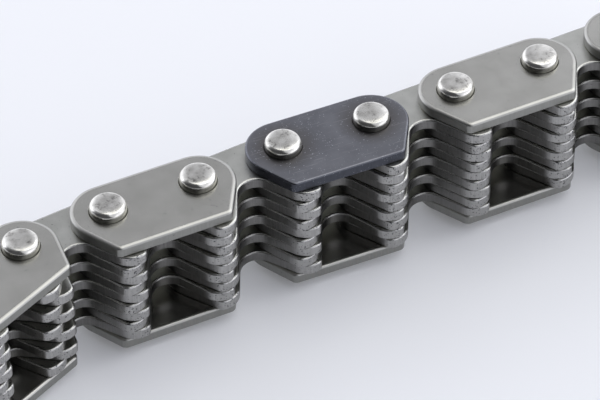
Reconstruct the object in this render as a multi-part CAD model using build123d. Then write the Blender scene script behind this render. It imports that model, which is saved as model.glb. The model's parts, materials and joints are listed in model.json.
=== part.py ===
from build123d import *
import math
import os

# A silent (inverted-tooth) timing chain, ten rows long, lying on its side with its pins upright.
# The origin is the first row's free bore, half way through the width. +X runs along the chain,
# +Y towards its smooth back and +Z along the pins. Lengths are in millimetres, angles in degrees.

# Length and width
pitch = 6.35
link_thickness = 0.80
guide_thickness = 0.80
side_clearance = 0.033
joint_links_per_row = 5

# Toothed link plate
end_radius = 2.50
tooth_depth = 4.00
flank_angle = 30.0
crotch_radius = 1.25
crotch_height = 0.93
outer_tip_radius = 0.55
tip_flat = 0.12

# Guide plate
guide_depth = 3.64
guide_corner_radius = 0.50

# Pins and their bores
pin_radius = 1.24
pin_stand_out = 0.68
pin_bevel_height = 0.30
pin_bevel_width = 0.18
bore_clearance = 0.030

# Heading of each row from +X as the chain lies, from the free bore onwards.
# Odd rows are joint rows, which turn on the pins. Even rows are guide rows, which hold them.
row_headings = [34.0, 26.4, 7.1, 1.7, 6.2, 0.0, 3.4, 1.9, 3.7, 1.9]

# Worked out from the sizes above
level_step = link_thickness + side_clearance
guide_links_per_row = joint_links_per_row - 1
link_levels = joint_links_per_row + guide_links_per_row
stack_height = link_levels * link_thickness + (link_levels - 1) * side_clearance
half_width = stack_height / 2 + side_clearance + guide_thickness
pin_length = 2 * (half_width + pin_stand_out)
bore_radius = pin_radius + bore_clearance


def end_arc(side):
    """Rounded end about one pin, from the flat back round to where the outer flank starts."""
    centre = (side * pitch / 2, 0)
    swept_angle = 90 + flank_angle
    return CenterArc(centre, end_radius, 90, -side * swept_angle)


def flank_x(depth):
    """How far the outer flank lies from the middle of a plate, at a depth below the pins."""
    slope = math.radians(flank_angle)
    return pitch / 2 + (end_radius - depth * math.sin(slope)) / math.cos(slope)


def tooth_inner_x():
    """How far a tooth's inner corner lies from the middle, below the crotch that it is tangent to."""
    slope = math.radians(flank_angle)
    crotch_centre_depth = crotch_height + crotch_radius
    below_centre = tooth_depth - crotch_centre_depth
    return (crotch_radius + below_centre * math.sin(slope)) / math.cos(slope)


def inner_tip_radius():
    """Rounding of a tooth's inner corner: all that the outer corner and the flat leave of the tip."""
    tip_width = flank_x(tooth_depth) - tooth_inner_x()
    width_per_radius = math.tan(math.radians(90 - flank_angle) / 2)
    return (tip_width - tip_flat) / width_per_radius - outer_tip_radius


def tip_corners(face):
    """The four corners of the two tooth tips, from left to right."""
    return face.vertices().group_by(Axis.Y)[0].sort_by(Axis.X)


def link_face():
    """Toothed plate: round ends, flat back, and two teeth on either side of an arched crotch."""
    left_end = end_arc(-1)
    right_end = end_arc(1)
    outer_x = flank_x(tooth_depth)
    inner_x = tooth_inner_x()
    crotch_centre = (0, -crotch_height - crotch_radius)
    crotch = CenterArc(crotch_centre, crotch_radius, flank_angle, 180 - 2 * flank_angle)
    back = Line(left_end @ 0, right_end @ 0)
    right_tooth = Polyline(right_end @ 1, (outer_x, -tooth_depth), (inner_x, -tooth_depth), crotch @ 0)
    left_tooth = Polyline(crotch @ 1, (-inner_x, -tooth_depth), (-outer_x, -tooth_depth), left_end @ 1)
    face = make_face(Curve() + [left_end, back, right_end, right_tooth, crotch, left_tooth])
    corners = tip_corners(face)
    face = fillet([corners[0], corners[-1]], outer_tip_radius)
    return fillet(tip_corners(face)[1:-1], inner_tip_radius())


def guide_face():
    """Guide plate: the same ends and back as a link, with a straight toothward edge."""
    left_end = end_arc(-1)
    right_end = end_arc(1)
    corner_x = flank_x(guide_depth)
    back = Line(left_end @ 0, right_end @ 0)
    lower = Polyline(right_end @ 1, (corner_x, -guide_depth), (-corner_x, -guide_depth), left_end @ 1)
    face = make_face(Curve() + [left_end, back, right_end, lower])
    corners = face.vertices().group_by(Axis.Y)[0]
    return fillet(corners, guide_corner_radius)


def plate(face, thickness, hole_radius):
    """Plate cut from a face, with its two pin holes, standing on the ground plane."""
    holes = [Pos(side * pitch / 2, 0) * Circle(hole_radius) for side in (-1, 1)]
    return extrude(face - holes, thickness)


def pin():
    """Round pin with bevelled ends, turned from its half section and centred on the half width."""
    end = pin_length / 2
    disc_radius = pin_radius - pin_bevel_width
    shoulder = end - pin_bevel_height
    half_section = Polyline(
        (0, -end), (disc_radius, -end), (pin_radius, -shoulder),
        (pin_radius, shoulder), (disc_radius, end), (0, end),
        close=True,
    )
    return revolve(Plane.XZ * make_face(half_section), Axis.Z)


def row_places():
    """Where the middle of each row lies and how it is turned, row after row from the free bore."""
    places = []
    joint = Vector(0, 0)
    for heading in row_headings:
        span = Vector(pitch, 0).rotate(Axis.Z, heading)
        middle = joint + span / 2
        places.append(Pos(middle) * Rot(0, 0, heading))
        joint = joint + span
    return places


def link_height(level):
    """Height of a link plate's lower face, on a level counted from the top of the stack."""
    top_face = stack_height / 2 - level * level_step
    return top_face - link_thickness


def joint_row(number, place):
    """Links that turn on the pins of the rows beside them, on every other level from the top."""
    running_link = plate(link_face(), link_thickness, bore_radius)
    pieces = {}
    for index in range(joint_links_per_row):
        name = f"row_{number}_joint_link_{index + 1}"
        pieces[name] = place * Pos(0, 0, link_height(2 * index)) * running_link
    return pieces


def guide_row(number, place):
    """Two guides and the links between them, all pressed on the row's own two pins."""
    pressed_link = plate(link_face(), link_thickness, pin_radius)
    guide = plate(guide_face(), guide_thickness, pin_radius)
    pieces = {}
    pieces[f"row_{number}_guide_top"] = place * Pos(0, 0, half_width - guide_thickness) * guide
    pieces[f"row_{number}_guide_bottom"] = place * Pos(0, 0, -half_width) * guide
    for index in range(guide_links_per_row):
        name = f"row_{number}_guide_link_{index + 1}"
        pieces[name] = place * Pos(0, 0, link_height(2 * index + 1)) * pressed_link
    pins = [place * Pos(side * pitch / 2, 0) * pin() for side in (-1, 1)]
    pieces[f"row_{number}_pins"] = Compound(children=pins)
    return pieces


def chain():
    """All pieces of the chain by name."""
    pieces = {}
    for index, place in enumerate(row_places()):
        number = index + 1
        make_row = joint_row if number % 2 else guide_row
        pieces.update(make_row(number, place))
    return pieces


os.makedirs("parts", exist_ok=True)
for name, piece in chain().items():
    export_step(piece, f"parts/{name}.step")
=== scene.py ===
import bpy
import json
import math
import numpy as np
from mathutils import Matrix, Vector


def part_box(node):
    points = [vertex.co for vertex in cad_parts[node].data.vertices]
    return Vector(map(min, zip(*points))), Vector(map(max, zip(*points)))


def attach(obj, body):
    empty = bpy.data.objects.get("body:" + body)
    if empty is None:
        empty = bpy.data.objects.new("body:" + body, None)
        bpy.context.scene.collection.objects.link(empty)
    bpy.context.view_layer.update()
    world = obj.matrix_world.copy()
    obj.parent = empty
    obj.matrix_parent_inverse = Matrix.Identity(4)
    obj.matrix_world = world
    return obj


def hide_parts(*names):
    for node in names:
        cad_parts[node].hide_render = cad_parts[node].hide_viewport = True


# Silent timing chain, ten rows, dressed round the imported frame. Lengths are in millimetres and
# angles in degrees, unless a note says otherwise, and are turned to metres and radians on use.

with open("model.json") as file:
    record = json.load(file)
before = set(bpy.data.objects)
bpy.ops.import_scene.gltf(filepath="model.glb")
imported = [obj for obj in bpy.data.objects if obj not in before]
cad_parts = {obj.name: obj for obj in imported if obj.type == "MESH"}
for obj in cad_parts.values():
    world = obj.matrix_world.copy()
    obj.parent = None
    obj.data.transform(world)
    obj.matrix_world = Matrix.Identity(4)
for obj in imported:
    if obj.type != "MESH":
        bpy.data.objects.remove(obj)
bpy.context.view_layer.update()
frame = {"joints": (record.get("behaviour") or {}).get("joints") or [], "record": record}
mm = 0.001


def rowEnds():
    # the pin axes along the chain: the free bore, the pivots in order, and the last pin
    mounts = {m["name"]: m["pos_m"] for m in frame["record"]["mounts"]}
    pivots = {int(j["name"].split("_")[1]): j["pos_m"] for j in frame["joints"]}
    inOrder = [mounts["joining_bore"], *(pivots[k] for k in sorted(pivots)), mounts["joining_pin"]]
    return np.array(inOrder)[:, :2] / mm


axes = rowEnds()
rowCount = len(axes) - 1


def rowPlace(row):
    # middle of a row and its heading in radians, both read off the two pin axes beside it
    left, right = axes[row - 1], axes[row]
    along = right - left
    return (left + right) / 2, math.atan2(along[1], along[0])


def heights(node):
    low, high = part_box(node)
    return low.z / mm, high.z / mm


# Plates

# a round is how far an edge is rounded, in from the outline and down the wall. A joint link's bore
# is drawn as tight as a pressed one, because its 0.03 mm of play doesn't show
plateShape = {
    "pitch": 6.35, "endRadius": 2.50, "flankAngle": 30.0, "bottomRound": (0.12, 0.10),
    "boreRadius": 1.24, "boreRound": (0.09, 0.10),  # the punch draws the sheet in round its hole
}
link = {
    **plateShape,
    "toothDepth": 4.00, "crotchRadius": 1.25, "crotchHeight": 0.93, "outerTip": 0.55,
    "tipFlat": 0.12, "topRound": (0.17, 0.12),
}
guide = {**plateShape, "depth": 3.64, "cornerRadius": 0.50, "topRound": (0.30, 0.17)}
markedGuide = {**guide, "topRound": (0.18, 0.12)}  # blued after tumbling, so it is less worn

# how finely plates are drawn: degrees from point to point of an arc, and points on other stretches
plateSteps = {"arc": 5.0, "topRound": 8, "wall": 4, "bottomRound": 5, "bore": 48}


def unit(degrees):
    turn = np.radians(degrees)
    return np.stack([np.cos(turn), np.sin(turn)], axis=-1)


def between(angleA, distanceA, angleB, distanceB, radius):
    # centre of the arc that rounds the corner of two straight edges, each given by the angle of
    # its outward normal and its distance from the middle: both distances less the radius
    normals = np.array([unit(angleA), unit(angleB)])
    return np.linalg.solve(normals, [distanceA - radius, distanceB - radius])


def innerTip(v):
    # rounding of a tooth's inner corner: what the outer corner and the flat leave of the tip
    slope = math.radians(v["flankAngle"])
    belowCrotch = v["toothDepth"] - v["crotchHeight"] - v["crotchRadius"]
    outerReach = (v["endRadius"] - v["toothDepth"] * math.sin(slope)) / math.cos(slope)
    outerX = v["pitch"] / 2 + outerReach
    innerX = (v["crotchRadius"] + belowCrotch * math.sin(slope)) / math.cos(slope)
    widthPerRadius = math.tan((math.pi / 2 - slope) / 2)
    return (outerX - innerX - v["tipFlat"]) / widthPerRadius - v["outerTip"]


def linkArcs(v):
    # centre, signed radius (hollow arcs are negative), first and last angle of the outward normal
    half, flank = v["pitch"] / 2, v["flankAngle"]
    crotch = np.array([0.0, -v["crotchHeight"] - v["crotchRadius"]])
    outer = unit(180 + flank) @ np.array([-half, 0]) + v["endRadius"]
    inner = unit(360 - flank) @ crotch - v["crotchRadius"]
    outside, inside, depth = v["outerTip"], innerTip(v), v["toothDepth"]
    leftOuter = between(180 + flank, outer, 270, depth, outside)
    leftInner = between(270, depth, 360 - flank, inner, inside)
    flip = np.array([-1, 1])
    return [
        ((half, 0), v["endRadius"], 0, 90),
        ((-half, 0), v["endRadius"], 90, 180),
        ((-half, 0), v["endRadius"], 180, 180 + flank),
        (leftOuter, outside, 180 + flank, 270),
        (leftInner, inside, 270, 360 - flank),
        (crotch, -v["crotchRadius"], 360 - flank, 180 + flank),
        (leftInner * flip, inside, 180 + flank, 270),
        (leftOuter * flip, outside, 270, 360 - flank),
        ((half, 0), v["endRadius"], 360 - flank, 360),
    ]


def guideArcs(v):
    # as for a link, with one straight edge towards the teeth's side
    half, flank = v["pitch"] / 2, v["flankAngle"]
    outer = unit(180 + flank) @ np.array([-half, 0]) + v["endRadius"]
    corner = between(180 + flank, outer, 270, v["depth"], v["cornerRadius"])
    return [
        ((half, 0), v["endRadius"], 0, 90),
        ((-half, 0), v["endRadius"], 90, 180),
        ((-half, 0), v["endRadius"], 180, 180 + flank),
        (corner, v["cornerRadius"], 180 + flank, 270),
        (corner * np.array([-1, 1]), v["cornerRadius"], 270, 360 - flank),
        ((half, 0), v["endRadius"], 360 - flank, 360),
    ]


def outline(arcs):
    # points = centre + radius * normal along every arc, and the gaps between arcs are the straight
    # edges. The number of the leftmost point is returned as well
    points, normals = [], []
    for number, (centre, radius, first, last) in enumerate(arcs):
        count = max(2, int(math.ceil(abs(last - first) / plateSteps["arc"])) + 1)
        outward = unit(np.linspace(first, last, count))
        if number == 1:  # the second arc ends in the leftmost point, with which the third starts
            outward = outward[:-1]
        points.append(np.asarray(centre) + radius * outward)
        normals.append(outward)
    leftmost = len(points[0]) + len(points[1])
    return np.vstack(points)[:-1], np.vstack(normals)[:-1], leftmost


def edgeProfile(low, high, topRound, bottomRound):
    # the thickness in section, from the upper face round to the lower one. Each edge is a quarter
    # of an ellipse: inset = wide * (1 - sin t) and drop = tall * (1 - cos t), t from 0 to 90.
    # Returned are inset, height, tilt of the normal from straight up in radians, and two shares:
    # wall = sin(tilt) squared, 1 on the wall, and edge = size of sin(2 tilt), 1 half way round
    (topWide, topTall), (bottomWide, bottomTall) = topRound, bottomRound
    top = np.radians(np.linspace(0, 90, plateSteps["topRound"]))
    bottom = np.radians(np.linspace(90, 0, plateSteps["bottomRound"]))
    wallHeights = np.linspace(high - topTall, low + bottomTall, plateSteps["wall"])[1:-1]
    upright = np.zeros(len(wallHeights))
    topInset, bottomInset = topWide * (1 - np.sin(top)), bottomWide * (1 - np.sin(bottom))
    inset = np.concatenate([topInset, upright, bottomInset])
    topHeights = high - topTall * (1 - np.cos(top))
    bottomHeights = low + bottomTall * (1 - np.cos(bottom))
    height = np.concatenate([topHeights, wallHeights, bottomHeights])
    topTilt = np.arctan2(topTall * np.sin(top), topWide * np.cos(top))
    bottomTilt = np.pi - np.arctan2(bottomTall * np.sin(bottom), bottomWide * np.cos(bottom))
    tilt = np.concatenate([topTilt, upright + np.pi / 2, bottomTilt])
    return inset, height, tilt, np.sin(tilt) ** 2, np.abs(np.sin(2 * tilt))


def ringSurface(points, normals, profile):
    # every outline point moved in along its normal by the profile's inset and set at its height
    inset, height, tilt, wall, edge = profile
    count = len(points)
    flat = points[:, None, :] - inset[None, :, None] * normals[:, None, :]
    tall = np.broadcast_to(height[None, :, None], (count, len(height), 1))
    vertices = np.concatenate([flat, tall], axis=2)
    sideways = normals[:, None, :] * np.sin(tilt)[None, :, None]
    upwards = np.broadcast_to(np.cos(tilt)[None, :, None], (count, len(tilt), 1))
    directions = np.concatenate([sideways, upwards], axis=2)
    share = np.broadcast_to(np.stack([wall, edge], axis=-1)[None], (count, len(wall), 2))
    return vertices.reshape(-1, 3), directions.reshape(-1, 3), share.reshape(-1, 2)


def ringQuads(count, columns, start, outwards):
    # the faces between neighbouring columns of a closed ring, whose points start at that number
    i, j = np.meshgrid(np.arange(count), np.arange(columns - 1), indexing="ij")
    a = start + i * columns + j
    b = start + ((i + 1) % count) * columns + j
    corners = [a, a + 1, b + 1, b] if outwards else [a, b, b + 1, a + 1]
    return np.stack(corners, axis=-1).reshape(-1, 4).tolist()


def addObject(name, data):
    made = bpy.data.objects.new(name, data)
    bpy.context.scene.collection.objects.link(made)
    return made


def putInMesh(name, vertices, directions, faces, shares, flatPlace, material):
    # flatPlace is where a point lies on its own plate or pin, before that is put in the chain
    mesh = bpy.data.meshes.new(name)
    mesh.from_pydata((vertices * mm).tolist(), [], faces)
    mesh.shade_smooth()
    mesh.normals_split_custom_set_from_vertices(directions.tolist())
    loops = np.empty(len(mesh.loops), dtype=np.int32)
    mesh.loops.foreach_get("vertex_index", loops)
    layer = mesh.uv_layers.new(name="plateMm")
    layer.data.foreach_set("uv", flatPlace[loops].astype(np.float32).ravel())
    for column, label in enumerate(("wall", "edge")):
        values = mesh.attributes.new(label, "FLOAT", "POINT")
        values.data.foreach_set("value", shares[:, column].astype(np.float32))
    mesh.materials.append(material)
    return addObject(name, mesh)


def placed(vertices, directions, middle, heading):
    # turned by the row's heading about the pins' direction, then moved to its middle
    cos, sin = math.cos(heading), math.sin(heading)
    turn = np.array([[cos, sin], [-sin, cos]])
    moved, turned = vertices.copy(), directions.copy()
    moved[:, :2] = vertices[:, :2] @ turn + middle
    turned[:, :2] = directions[:, :2] @ turn
    return moved, turned


def plate(name, arcs, v, low, high, row, material):
    # outline carried round the edge profile, two bores carried round a smaller one, and each flat
    # face closed by two polygons that meet on the line through the bores
    points, normals, leftmost = outline(arcs)
    profile = edgeProfile(low, high, v["topRound"], v["bottomRound"])
    boreProfile = edgeProfile(low, high, v["boreRound"], v["boreRound"])
    columns, boreColumns = len(profile[0]), len(boreProfile[0])
    parts = [ringSurface(points, normals, profile)]
    faces = ringQuads(len(points), columns, 0, True)
    boreCount, boreStart = plateSteps["bore"], []
    around = unit(np.arange(boreCount) * 360 / boreCount)
    for side in (-1, 1):
        boreStart.append(sum(len(p[0]) for p in parts))
        centre = np.array([side * v["pitch"] / 2, 0])
        parts.append(ringSurface(centre + v["boreRadius"] * around, -around, boreProfile))
        faces += ringQuads(boreCount, boreColumns, boreStart[-1], False)
    vertices, directions, shares = (np.vstack([p[k] for p in parts]) for k in range(3))
    half = boreCount // 2
    for column, boreColumn, order in ((0, 0, 1), (columns - 1, boreColumns - 1, -1)):
        rim = np.arange(len(points)) * columns + column
        left, right = (s + np.arange(boreCount) * boreColumns + boreColumn for s in boreStart)
        upper = np.concatenate([rim[:leftmost + 1], left[half::-1], right[half::-1]])
        underRight = np.roll(right[::-1], 1)[:half + 1]
        underLeft = np.roll(left[::-1], 1)[:half + 1]
        lower = np.concatenate([rim[leftmost:], rim[:1], underRight, underLeft])
        faces += [upper[::order].tolist(), lower[::order].tolist()]
    flatPlace = vertices[:, :2].copy()
    vertices, directions = placed(vertices, directions, *rowPlace(row))
    return putInMesh(name, vertices, directions, faces, shares, flatPlace, material)


# Pins

pinShape = {
    "radius": plateShape["boreRadius"], "crownTilt": 10.0, "crownPower": 2.6,
    "rimWide": 0.26, "rimPower": 0.75,
    "edgeOver": 0.2,  # radians of tilt over which the crown turns to rim in its finish
    "wallFrom": 62, "wallOver": 20,  # tilt at which the rim starts to take the shank's darker tone, which is painted shade
    "dents": 5, "dentDepth": 0.006, "dentPower": 4,
    "dentWaves": (1.2, 3.6), "dentPhase": 6.3,  # radians per millimetre, and radians at most
    "around": 96, "steps": 16, "shankSteps": 3,
}


def pinProfile(v, length):
    # the section from the middle of an end down to half way, as a tilt from level, in radians.
    # Over the crown tilt = crownTilt * share ^ crownPower, and round the rim
    # tilt = crownTilt + (90 - crownTilt) * share ^ rimPower, with share from 0 to 1 on each.
    # radius = sum of step * cos(tilt) and drop = sum of step * sin(tilt), over steps along it
    share = np.linspace(0, 1, v["steps"] + 1)[1:]
    crown = math.radians(v["crownTilt"]) * share ** v["crownPower"]
    rim = crown[-1] + (np.pi / 2 - crown[-1]) * share ** v["rimPower"]
    tilts = np.concatenate([[0], crown, rim])
    mean = (tilts[1:] + tilts[:-1]) / 2
    wide = np.array([v["radius"] - v["rimWide"], v["rimWide"]])
    stepLengths = np.repeat(wide / np.cos(mean).reshape(2, -1).sum(axis=1), len(share))
    radius = np.cumsum(stepLengths * np.cos(mean))
    drop = np.cumsum(stepLengths * np.sin(mean))
    shank = np.linspace(drop[-1], length / 2, v["shankSteps"] + 1)[1:]
    radius = np.concatenate([[0], radius, np.full(len(shank), v["radius"])])
    height = length / 2 - np.concatenate([[0], drop, shank])
    tilts = np.concatenate([tilts, np.full(len(shank), np.pi / 2)])
    edge = np.clip((tilts - crown[-1]) / v["edgeOver"], 0, 1) * (tilts < np.pi / 2)
    wall = np.clip((np.degrees(tilts) - v["wallFrom"]) / v["wallOver"], 0, 1)
    return radius, height, wall, edge


def pinSurface(v, centre, low, high, seed):
    # the profile turned about the pin's axis; each end disc is dented by a few shallow waves,
    # depth = dentDepth * (1 + mean of cosines across the disc) * (1 - (r / radius) ^ dentPower)
    draw = np.random.default_rng(seed)
    radius, height, wall, edge = pinProfile(v, high - low)
    turn = np.arange(v["around"]) * 2 * np.pi / v["around"]
    x = radius[None, :] * np.cos(turn)[:, None]
    y = radius[None, :] * np.sin(turn)[:, None]
    fade = np.clip(1 - (radius / v["radius"]) ** v["dentPower"], 0, 1)
    halves = []
    for end in (1, -1):
        dents = np.zeros_like(x)
        for _ in range(v["dents"]):
            way = draw.uniform(0, 2 * np.pi)
            waves = draw.uniform(*v["dentWaves"])
            phase = draw.uniform(0, v["dentPhase"])
            dents += np.cos(waves * (x * np.cos(way) + y * np.sin(way)) + phase) / v["dents"]
        z = (height[None, :] - v["dentDepth"] * (1 + dents) * fade) * end
        halves.append(z + (low + high) / 2)
    # down from the upper end and on to the lower one, without half way twice
    z = np.concatenate([halves[0], halves[1][:, -2::-1]], axis=1)
    x = np.concatenate([x, x[:, -2::-1]], axis=1) + centre[0]
    y = np.concatenate([y, y[:, -2::-1]], axis=1) + centre[1]
    shares = np.stack([np.concatenate([s, s[-2::-1]]) for s in (wall, edge)], axis=-1)
    # the first and last column shrink to one point each, the poles
    rings = np.stack([x, y, z], axis=-1)[:, 1:-1]
    poles = np.array([[*centre, z[0, 0]], [*centre, z[0, -1]]])
    columns = rings.shape[1]
    ringShares = np.broadcast_to(shares[None, 1:-1], (v["around"], columns, 2)).reshape(-1, 2)
    faces = ringQuads(v["around"], columns, 0, True)
    first = np.arange(v["around"]) * columns
    after = np.roll(first, -1)
    pole = np.full(len(first), len(first) * columns)
    last = columns - 1
    faces += np.stack([first, after, pole], axis=-1).tolist()
    faces += np.stack([after + last, first + last, pole + 1], axis=-1).tolist()
    vertices = np.vstack([rings.reshape(-1, 3), poles])
    return vertices, faces, np.vstack([ringShares, shares[[0, -1]]])


def pinPair(name, row, material):
    # the two pins of a guide row, each with dents of its own
    low, high = heights(f"row_{row}_pins")
    vertices, faces, shares, flat = [], [], [], []
    for side in (0, 1):
        centre = axes[row - 1 + side]
        seed = 10 * row + side
        points, quads, share = pinSurface(pinShape, centre, low, high, seed)
        shift = sum(len(v) for v in vertices)
        faces += [[corner + shift for corner in quad] for quad in quads]
        vertices.append(points)
        shares.append(share)
        flat.append(points[:, :2] - centre)
    vertices, shares, flat = np.vstack(vertices), np.vstack(shares), np.vstack(flat)
    bare = bpy.data.meshes.new(name)  # made only to read its normals, which the dents turn
    bare.from_pydata((vertices * mm).tolist(), [], faces)
    directions = np.empty(len(vertices) * 3, dtype=np.float32)
    bare.vertices.foreach_get("normal", directions)
    bpy.data.meshes.remove(bare)
    return putInMesh(name, vertices, directions.reshape(-1, 3), faces, shares, flat, material)


# Materials


def linear(hexColour):
    # sRGB hex to linear light, the one place where colours are turned
    channels = np.array([int(hexColour[k:k + 2], 16) for k in (1, 3, 5)]) / 255
    turned = np.where(channels <= 0.04045, channels / 12.92, ((channels + 0.055) / 1.055) ** 2.4)
    return (*turned.tolist(), 1.0)


def addNode(tree, kind, sockets, **settings):
    # a node that is given for a socket stands for its own first output
    made = tree.nodes.new("ShaderNode" + kind)
    for name, value in settings.items():
        setattr(made, name, value)
    for name, value in sockets.items():
        if isinstance(value, bpy.types.Node):
            value = value.outputs[0]
        if isinstance(value, bpy.types.NodeSocket):
            tree.links.new(value, made.inputs[name])
        else:
            made.inputs[name].default_value = value
    return made


def emptyTree(owner):
    owner.use_nodes = True
    owner.node_tree.nodes.clear()
    return owner.node_tree


def noiseScale(width):
    # the scale at which one feature of a noise is about so many millimetres wide
    return 1 / (width * mm)


# In each steel, face and dark are the two tones of a flat face, wall is the sheared or ground
# side, and pit the specks. mottle, grain, streak and pitSize are widths, and bump is a depth.
# There is a pit where its noise is under pitLevel, or tipPitLevel at a tooth's tip. pitCrowd
# gathers the pits, pitSoft blurs them, edgeGap breaks up the edge, and scratchTone lightens the
# scratches. The camera shows nothing finer than about 0.065 mm, so the grain, the streaks and the
# scratches, really 0.01 to 0.03 mm wide, are drawn that coarse, and the finest pits too.

# carbon steel strip, blanked, hardened and tumbled among stones: an even satin grey with a touch
# of warmth, hardly a mark on it, and broad soft edges that catch the light
guideSteel = {
    "name": "tumbled_guide_steel",
    "face": "#b0afa8", "dark": "#a7a69f", "wall": "#91918d", "pit": "#6c6c6f",
    "faceRoughness": 0.27, "wallRoughness": 0.36, "edgeRoughness": 0.29,
    "mottle": 2.2, "grain": 0.07, "streak": 0.10, "streakDepth": 0.10, "bump": 0.0002,
    "pitSize": 0.16, "pitLevel": 0.22, "tipPitLevel": 0.24, "pitCrowd": 0.15, "pitSoft": 0.025,
    "edgeGap": 0.0, "scratchTone": 0.015,
}
# the same strip, blanked with little tumbling: bright rolled faces, walls with upright streaks from
# the punch, and tooth tips speckled with pits. The dark wall tone is partly the duller sheared
# finish and partly painted shade on flanks that face the dark front, and the lighter tip walls are
# partly rubbed bright by the sprocket and partly painted light where the tips face the bright floor
linkSteel = {
    "name": "blanked_link_steel",
    "face": "#b7b7b0", "dark": "#aaaaa3", "wall": "#7e7d7b", "pit": "#444447",
    "tipWall": "#aeadab",
    "faceRoughness": 0.28, "wallRoughness": 0.34, "edgeRoughness": 0.25,
    "mottle": 1.4, "grain": 0.07, "streak": 0.09, "streakDepth": 0.24, "bump": 0.0016,
    "pitSize": 0.12, "pitLevel": 0.25, "tipPitLevel": 0.345, "pitCrowd": 0.20, "pitSoft": 0.025,
    "edgeGap": 0.7, "scratchTone": 0.03,
}
# the guide's steel, tumbled and then heated until it blues: a thin dark oxide, slate grey with some
# blue, a darker brown-grey towards either pin, and fine light specks where it is worn through
bluedSteel = {
    "name": "blued_marking_steel",
    "face": "#717276", "dark": "#67686c", "wall": "#4c4e55", "pit": "#b4b7bd",
    "temper": "#514d49", "temperReach": 1.30, "temperShare": 0.7,
    "faceRoughness": 0.32, "wallRoughness": 0.34, "edgeRoughness": 0.26,
    "mottle": 1.8, "grain": 0.06, "streak": 0.10, "streakDepth": 0.15, "bump": 0.0025,
    "pitSize": 0.09, "pitLevel": 0.265, "tipPitLevel": 0.265, "pitCrowd": 0.10, "pitSoft": 0.025,
    "edgeGap": 0.0, "scratchTone": 0.08,
}
# chromium steel, hardened and ground round: a bright smooth rim, and end discs that mirror the
# light in patches, between dull ones that hammering and handling have pitted. The wall tone, darker
# than the face, is painted shade on the shank and the lower rim
pinSteel = {
    "name": "ground_pin_steel",
    "face": "#dcdad2", "dark": "#bcbab2", "wall": "#a5a49c", "pit": "#7a7874",
    "faceRoughness": 0.20, "wallRoughness": 0.28, "edgeRoughness": 0.16,
    "mottle": 0.60, "grain": 0.05, "streak": 0.08, "streakDepth": 0.10, "bump": 0.0015,
    "pitSize": 0.20, "pitLevel": 0.24, "tipPitLevel": 0.24, "pitCrowd": 1.10, "pitSoft": 0.15,
    "pitOnRim": 0.0, "edgeGap": 0.0, "scratchTone": 0.10,
}
# what all four share; a pair of levels is where a noise starts and ends to count
finish = {
    "tipDepths": (3.1, 3.7),  # a tooth is tip from the first of these depths, fully at the second
    "toneLevels": (0.35, 0.65), "streakLevels": (0.3, 0.7), "gapLevels": (0.42, 0.50),
    "streakSquash": 0.06,  # noise squashed to this share along the pins, so streaks stand upright
    "scratchSize": 0.07, "scratchLevels": (0.66, 0.74), "scratchColour": "#ffffff",
    "scratchSquash": 0.04, "scratchTurn": 0.6,  # radians from the chain's length
    "grainRelief": 0.35, "grainLevels": (0.3, 0.7), "unevenRoughness": 0.0025,
    # finer octaves in a noise: streaks have as many as the grain, and scratches as the pits
    "mottleDetail": 3.0, "grainDetail": 2.0, "pitDetail": 1.0,
}


def steelMaterial(v):
    # a smooth face with a few hairline scratches, a wall with fine upright streaks, a worn edge
    # between them, specks that crowd on the tips, and a slow change of tone over the surface
    made = bpy.data.materials.new(v["name"])
    tree = emptyTree(made)
    place = addNode(tree, "TexCoord", {}).outputs["Object"]
    wall = addNode(tree, "Attribute", {}, attribute_name="wall").outputs["Fac"]
    edge = addNode(tree, "Attribute", {}, attribute_name="edge").outputs["Fac"]
    plane = addNode(tree, "UVMap", {}, uv_map="plateMm").outputs["UV"]
    depth = addNode(tree, "SeparateXYZ", {0: plane}).outputs["Y"]
    tipStart, tipFull = finish["tipDepths"]
    tip = addNode(tree, "MapRange", {"Value": depth, "From Min": -tipStart, "From Max": -tipFull})
    mottle = addNode(tree, "TexNoise", {
        "Vector": place, "Scale": noiseScale(v["mottle"]), "Detail": finish["mottleDetail"],
    })
    grain = addNode(tree, "TexNoise", {
        "Vector": place, "Scale": noiseScale(v["grain"]), "Detail": finish["grainDetail"],
    })
    upright = addNode(tree, "Mapping", {
        "Vector": place, "Scale": (1.0, 1.0, finish["streakSquash"]),
    })
    streak = addNode(tree, "TexNoise", {
        "Vector": upright, "Scale": noiseScale(v["streak"]), "Detail": finish["grainDetail"],
    })
    pitMask = steelPits(tree, v, place, mottle, tip, edge)

    face = steelFace(tree, v, place, plane, mottle)
    side = steelWall(tree, v, tip, streak)
    gapStart, gapEnd = finish["gapLevels"]
    broken = addNode(tree, "MapRange", {
        "Value": streak, "From Min": gapStart, "From Max": gapEnd,
        "To Min": v["edgeGap"], "To Max": 0.0,
    })
    lost = addNode(tree, "Math", {0: edge, 1: broken}, operation="MULTIPLY")
    rimmed = addNode(tree, "Mix", {0: lost, 6: face, 7: side}, data_type="RGBA").outputs[2]
    clean = addNode(tree, "Mix", {0: wall, 6: rimmed, 7: side}, data_type="RGBA").outputs[2]
    colour = addNode(tree, "Mix", {
        0: pitMask, 6: clean, 7: linear(v["pit"]),
    }, data_type="RGBA").outputs[2]

    streaks = addNode(tree, "Math", {0: streak, 1: wall}, operation="MULTIPLY")
    relief = addNode(tree, "Math", {
        0: grain, 1: finish["grainRelief"], 2: streaks,
    }, operation="MULTIPLY_ADD")
    sunk = addNode(tree, "Math", {0: relief, 1: pitMask}, operation="SUBTRACT")
    bump = addNode(tree, "Bump", {"Strength": 1.0, "Distance": v["bump"] * mm, "Height": sunk})
    shader = addNode(tree, "BsdfPrincipled", {
        "Base Color": colour, "Metallic": 1.0, "Normal": bump,
        "Roughness": steelRoughness(tree, v, wall, edge, grain),
    })
    addNode(tree, "OutputMaterial", {"Surface": shader})
    return made


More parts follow.
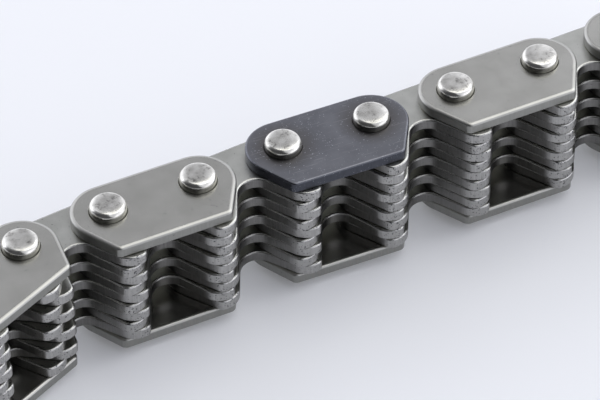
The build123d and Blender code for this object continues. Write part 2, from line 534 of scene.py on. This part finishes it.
def steelPits(tree, v, place, mottle, tip, edge):
    # a pit where the noise is under a level, which rises towards the tips and with the mottle
    pits = addNode(tree, "TexNoise", {
        "Vector": place, "Scale": noiseScale(v["pitSize"]), "Detail": finish["pitDetail"],
    })
    level = addNode(tree, "MapRange", {
        "Value": tip, "To Min": v["pitLevel"], "To Max": v["tipPitLevel"],
    })
    crowd = addNode(tree, "MapRange", {
        "Value": mottle, "To Min": -v["pitCrowd"] / 2, "To Max": v["pitCrowd"] / 2,
    })
    crowded = addNode(tree, "Math", {0: level, 1: crowd}, operation="ADD")
    below = addNode(tree, "Math", {0: crowded, 1: pits}, operation="SUBTRACT")
    mask = addNode(tree, "MapRange", {
        "Value": below, "From Min": -v["pitSoft"], "From Max": v["pitSoft"],
    })
    if "pitOnRim" not in v:
        return mask
    onRim = addNode(tree, "MapRange", {"Value": edge, "To Min": 1.0, "To Max": v["pitOnRim"]})
    return addNode(tree, "Math", {0: mask, 1: onRim}, operation="MULTIPLY")


def steelFace(tree, v, place, plane, mottle):
    # two tones after the mottle, a darker tone near the pins where there is one, and a few hairline
    # scratches
    toneStart, toneEnd = finish["toneLevels"]
    tone = addNode(tree, "MapRange", {"Value": mottle, "From Min": toneStart, "From Max": toneEnd})
    face = addNode(tree, "Mix", {
        0: tone, 6: linear(v["face"]), 7: linear(v["dark"]),
    }, data_type="RGBA").outputs[2]
    if "temper" in v:
        face = nearPinRing(tree, v, face, plane)
    drawn = addNode(tree, "Mapping", {
        "Vector": place, "Rotation": (0, 0, finish["scratchTurn"]),
        "Scale": (finish["scratchSquash"], 1.0, 1.0),
    })
    hairlines = addNode(tree, "TexNoise", {
        "Vector": drawn, "Scale": noiseScale(finish["scratchSize"]), "Detail": finish["pitDetail"],
    })
    scratchStart, scratchEnd = finish["scratchLevels"]
    scratch = addNode(tree, "MapRange", {
        "Value": hairlines, "From Min": scratchStart, "From Max": scratchEnd,
    })
    share = addNode(tree, "Math", {0: scratch, 1: v["scratchTone"]}, operation="MULTIPLY")
    return addNode(tree, "Mix", {
        0: share, 6: face, 7: linear(finish["scratchColour"]),
    }, data_type="RGBA").outputs[2]


def nearPinRing(tree, v, face, plane):
    # a darker brown-grey that fades with the distance from either pin
    pin = (guide["pitch"] / 2, 0, 0)
    folded = addNode(tree, "VectorMath", {0: plane}, operation="ABSOLUTE")
    reach = addNode(tree, "VectorMath", {0: folded, 1: pin}, operation="DISTANCE")
    near = addNode(tree, "MapRange", {
        "Value": reach.outputs["Value"], "From Min": guide["boreRadius"],
        "From Max": guide["boreRadius"] + v["temperReach"],
        "To Min": v["temperShare"], "To Max": 0.0,
    })
    return addNode(tree, "Mix", {
        0: near, 6: face, 7: linear(v["temper"]),
    }, data_type="RGBA").outputs[2]


def steelWall(tree, v, tip, streak):
    # wall colour, darkened by the streaks and lighter at the tips: partly where the sprocket rubs
    # them, and partly painted light where the tips face the bright floor, against flanks whose
    # darker tone is partly painted shade
    sheared = linear(v["wall"])[:3]
    if "tipWall" in v:
        sheared = addNode(tree, "Mix", {
            0: tip, 6: linear(v["wall"]), 7: linear(v["tipWall"]),
        }, data_type="RGBA").outputs[2]
    streakStart, streakEnd = finish["streakLevels"]
    tone = addNode(tree, "MapRange", {
        "Value": streak, "From Min": streakStart, "From Max": streakEnd,
        "To Min": 1 - v["streakDepth"], "To Max": 1.0,
    })
    return addNode(tree, "VectorMath", {0: sheared, "Scale": tone}, operation="SCALE")


def steelRoughness(tree, v, wall, edge, grain):
    # from face to wall and over to the edge, made a little uneven by the grain
    rough = addNode(tree, "MapRange", {
        "Value": wall, "To Min": v["faceRoughness"], "To Max": v["wallRoughness"],
    })
    worn = addNode(tree, "Mix", {0: edge, 2: rough, 3: v["edgeRoughness"]}, data_type="FLOAT")
    grainStart, grainEnd = finish["grainLevels"]
    uneven = addNode(tree, "MapRange", {
        "Value": grain, "From Min": grainStart, "From Max": grainEnd,
        "To Min": -finish["unevenRoughness"], "To Max": finish["unevenRoughness"],
    })
    return addNode(tree, "Math", {0: worn, 1: uneven}, operation="ADD")


steels = {v["name"]: steelMaterial(v) for v in (guideSteel, linkSteel, bluedSteel, pinSteel)}
print("materials made:", len(steels))


# Pieces

markedRow = 6


def dress(piece, node, body):
    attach(piece, body)
    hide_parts(node)


for row in range(1, rowCount + 1):
    body = f"row_{row}"
    for node in frame["record"]["behaviour"]["bodies"][body]:
        kind = node.split("_", 2)[2]
        name = f"row{row}." + "".join(kind.title().split("_"))
        if kind == "pins":
            dress(pinPair(name, row, steels["ground_pin_steel"]), node, body)
        elif kind in ("guide_top", "guide_bottom"):
            marked = row == markedRow and kind == "guide_top"
            steel = steels["blued_marking_steel" if marked else "tumbled_guide_steel"]
            form = markedGuide if marked else guide
            made = plate(name, guideArcs(form), form, *heights(node), row, steel)
            dress(made, node, body)
        else:
            steel = steels["blanked_link_steel"]
            made = plate(name, linkArcs(link), link, *heights(node), row, steel)
            dress(made, node, body)
    print("dressed row", row)


# Floor, light and camera

middle, _ = rowPlace(markedRow)
lowest = heights(f"row_{markedRow}_pins")[0]
guideTop = heights(f"row_{markedRow}_guide_top")[1]
centre = Vector((middle[0] * mm, middle[1] * mm, guideTop * mm))

# board painted matt white: pale and even, with a soft shadow and no mirror image
floorLook = {
    "size": 1200, "colour": "#f2f3f4", "roughness": 0.6, "specular": 0.3,
    "glow": 0.10, "glowColour": "#f6f7fb",
}


def makeFloor(v):
    # what the camera and the steel see of the board is lifted a little towards white, as a long
    # exposure does, while the light that it throws back stays that of the board alone
    half, z = v["size"] / 2 * mm, lowest * mm
    corners = [(-half, -half, z), (half, -half, z), (half, half, z), (-half, half, z)]
    mesh = bpy.data.meshes.new("floor")
    mesh.from_pydata(corners, [], [(0, 1, 2, 3)])
    made = bpy.data.materials.new("matt_white_board")
    tree = emptyTree(made)
    board = addNode(tree, "BsdfPrincipled", {
        "Base Color": linear(v["colour"]), "Roughness": v["roughness"],
        "Specular IOR Level": v["specular"],
    })
    glow = addNode(tree, "Emission", {"Color": linear(v["glowColour"]), "Strength": 1.0})
    ray = addNode(tree, "LightPath", {}).outputs
    seen = addNode(tree, "Math", {
        0: ray["Is Camera Ray"], 1: ray["Is Glossy Ray"],
    }, operation="MAXIMUM")
    share = addNode(tree, "Math", {0: seen, 1: v["glow"]}, operation="MULTIPLY")
    mixed = addNode(tree, "MixShader", {0: share, 1: board, 2: glow})
    addNode(tree, "OutputMaterial", {"Surface": mixed})
    mesh.materials.append(made)
    floor = addObject("floor", mesh)


makeFloor(floorLook)

# direction from the chain (x right along it, y to its back, z up), distance, width along the chain,
# height, and how bright the panel looks
panel = {"from": (0.55, 0.17, 1.0), "away": 420, "wide": 480, "tall": 330, "bright": 1.46}
# the room round the panel: tint is the colour of its light and seen that of the backdrop in view.
# It has a base level, and soft patches that add to it or darken it, down to least. A patch fades
# from its inner to its outer angle from the direction in which it lies.
room = {
    "tint": "#f2f4ff", "seen": "#eceef3", "base": 0.24, "least": 0.09,
    "patches": {
        "horizon": {"toward": (0.0, 0.0, -1.0), "inner": 88, "outer": 112, "bright": 0.45},
        "behind": {"toward": (0.30, 0.66, 0.69), "inner": 8, "outer": 30, "bright": 0.27},
        "frontRight": {"toward": (0.62, -0.53, 0.58), "inner": 42, "outer": 54, "bright": 0.88},
        "lowRight": {"toward": (0.80, -0.58, 0.15), "inner": 22, "outer": 42, "bright": 0.70},
        "backLow": {"toward": (0.36, 0.86, 0.17), "inner": 6, "outer": 15, "bright": 0.90},
        "backRight": {"toward": (0.80, 0.50, 0.33), "inner": 15, "outer": 40, "bright": 1.10},
        "back": {"toward": (-0.36, 0.88, 0.30), "inner": 22, "outer": 42, "bright": 1.45},
        "backLeft": {"toward": (-0.60, 0.70, 0.38), "inner": 8, "outer": 24, "bright": 0.40},
        "leftRim": {"toward": (-0.06, 0.60, 0.80), "inner": 4, "outer": 14, "bright": 0.45},
        "unlitFront": {"toward": (-0.70, -0.66, 0.32), "inner": 36, "outer": 60, "bright": -0.36},
    },
}


def makePanel(v):
    # energy = brightness * pi * area, and the lamp's own -Z points back to the chain
    data = bpy.data.lights.new("overhead", "AREA")
    data.shape = "RECTANGLE"
    data.size, data.size_y = v["wide"] * mm, v["tall"] * mm
    data.energy = v["bright"] * math.pi * data.size * data.size_y
    lamp = addObject("overhead", data)
    way = Vector(v["from"]).normalized()
    ahead = way.cross(Vector((1, 0, 0))).normalized()
    lamp.location = centre + way * v["away"] * mm
    lamp.rotation_euler = Matrix((ahead.cross(way), ahead, way)).transposed().to_euler()


def makeRoom(v):
    world = bpy.data.worlds.new("studio")
    tree = emptyTree(world)
    way = addNode(tree, "TexCoord", {}).outputs["Generated"]
    total = v["base"]
    for patch in v["patches"].values():
        aim = Vector(patch["toward"]).normalized()
        facing = addNode(tree, "VectorMath", {0: way, 1: aim}, operation="DOT_PRODUCT")
        glow = addNode(tree, "MapRange", {
            "Value": facing.outputs["Value"],
            "From Min": math.cos(math.radians(patch["outer"])),
            "From Max": math.cos(math.radians(patch["inner"])), "To Max": patch["bright"],
        }, interpolation_type="SMOOTHSTEP")
        total = addNode(tree, "Math", {0: total, 1: glow}, operation="ADD")
    total = addNode(tree, "Math", {0: total, 1: v["least"]}, operation="MAXIMUM")
    lit = addNode(tree, "Background", {"Color": linear(v["tint"]), "Strength": total})
    backdrop = addNode(tree, "Background", {"Color": linear(v["seen"]), "Strength": 1.0})
    seen = addNode(tree, "LightPath", {}).outputs["Is Camera Ray"]
    mixed = addNode(tree, "MixShader", {0: seen, 1: lit, 2: backdrop})
    addNode(tree, "OutputWorld", {"Surface": mixed})
    bpy.context.scene.world = world


makePanel(panel)
makeRoom(room)

# the camera looks at a point aside of the marked guide's middle, from that azimuth and elevation
cameraView = {
    "azimuth": -23.31, "elevation": 43.85, "roll": -0.73, "distance": 238.86,
    "aside": (-4.198, -5.084), "lens": 222.3, "sensor": 36.0, "clip": (10, 10000),
}


def makeCamera(v):
    a, e, r = (math.radians(v[k]) for k in ("azimuth", "elevation", "roll"))
    back = Vector((math.sin(a) * math.cos(e), -math.cos(a) * math.cos(e), math.sin(e)))
    right = Vector((math.cos(a), math.sin(a), 0))
    up = back.cross(right)
    rolledRight = right * math.cos(r) + up * math.sin(r)
    rolledUp = up * math.cos(r) - right * math.sin(r)
    data = bpy.data.cameras.new("camera")
    data.sensor_width, data.lens = v["sensor"], v["lens"]
    data.clip_start, data.clip_end = (distance * mm for distance in v["clip"])
    camera = addObject("camera", data)
    target = centre + Vector((*v["aside"], 0)) * mm
    turn = Matrix((rolledRight, rolledUp, back)).transposed().to_4x4()
    camera.matrix_world = Matrix.Translation(target + back * v["distance"] * mm) @ turn
    bpy.context.scene.camera = camera


makeCamera(cameraView)
bpy.context.scene.view_settings.view_transform = "Standard"
print("floor, light and camera made")

bpy.context.view_layer.update()
